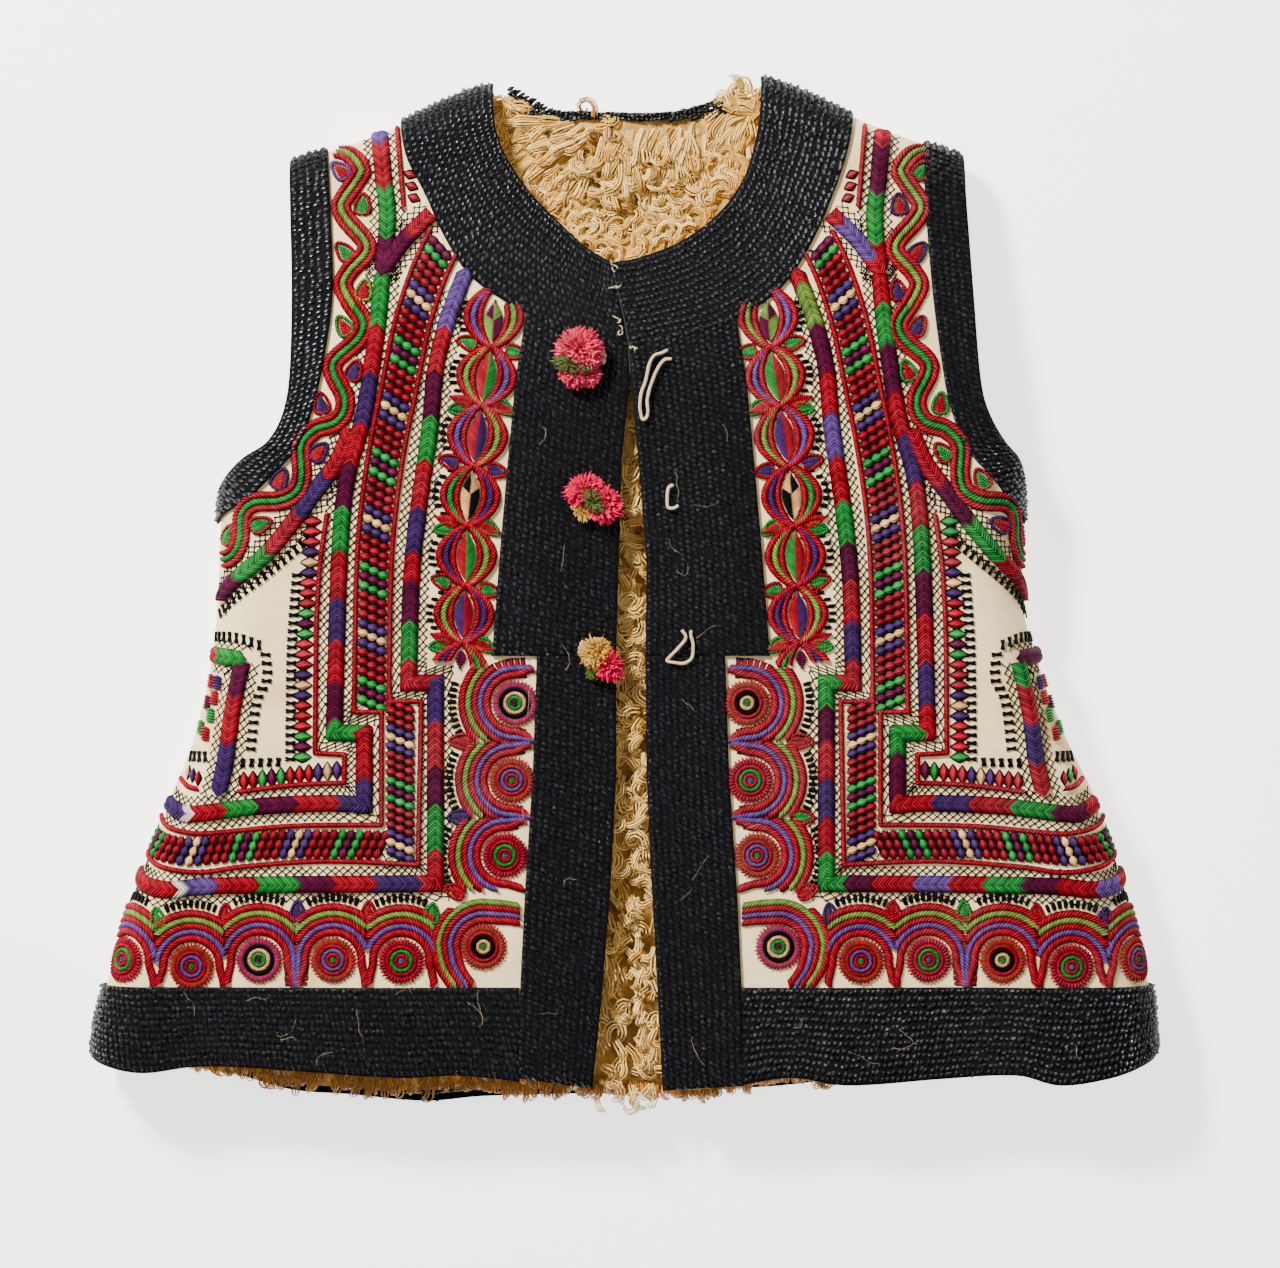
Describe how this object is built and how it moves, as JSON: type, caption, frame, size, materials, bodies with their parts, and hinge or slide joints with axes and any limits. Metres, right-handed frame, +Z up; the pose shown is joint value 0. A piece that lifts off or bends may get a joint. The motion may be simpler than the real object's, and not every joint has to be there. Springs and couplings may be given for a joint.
{
  "type": "embroidered folk vest",
  "caption": "Short open-fronted sheepskin vest laid flat on its back, leather side out, with looped wool trim, raised wool embroidery, pompom buttons and string loops.",
  "frame": {"origin": "middle of the underside of the vest's box, on the surface that the vest lies on", "axes": "+X to the right as seen from above the front, +Y to the neck, +Z up from the surface"},
  "size_m": [0.5625, 0.5386, 0.0698],
  "materials": {
    "leather": "matte cream sheepskin, leather side",
    "back_leather": "matte cream sheepskin, leather side",
    "fleece": "curly wool fleece",
    "looped_trim": "looped dark navy wool",
    "red_wool": "raised wool embroidery, mostly red with green, purple and magenta",
    "green_wool": "raised wool embroidery, mostly green",
    "pompom_wool": "short cut wool pile",
    "string": "twisted cream string"
  },
  "bodies": {
    "root": {"back_panel": "back_leather", "left_front_panel": "leather", "right_front_panel": "leather", "back_fleece": "fleece", "left_front_fleece": "fleece", "right_front_fleece": "fleece", "left_neck_band": "looped_trim", "left_placket": "looped_trim", "left_hem_band": "looped_trim", "left_armhole_band_front": "looped_trim", "left_armhole_band_back": "looped_trim", "left_outer_cord": "red_wool", "left_inner_cord": "red_wool", "left_brick_band": "red_wool", "left_vine": "red_wool", "left_oval_chain": "red_wool", "left_column_border": "red_wool", "left_hem_border": "red_wool", "left_armhole_cord": "green_wool", "left_side_cord": "green_wool", "right_neck_band": "looped_trim", "right_placket": "looped_trim", "right_hem_band": "looped_trim", "right_armhole_band_front": "looped_trim", "right_armhole_band_back": "looped_trim", "right_outer_cord": "red_wool", "right_inner_cord": "red_wool", "right_brick_band": "red_wool", "right_vine": "red_wool", "right_oval_chain": "red_wool", "right_column_border": "red_wool", "right_hem_border": "red_wool", "right_armhole_cord": "green_wool", "right_side_cord": "green_wool", "back_neck_band": "looped_trim", "back_hem_band": "looped_trim", "pompom_top": "pompom_wool", "string_loop_top": "string", "pompom_middle": "pompom_wool", "string_loop_middle": "string", "pompom_bottom": "pompom_wool", "string_loop_bottom": "string"}
  },
  "joints": []
}
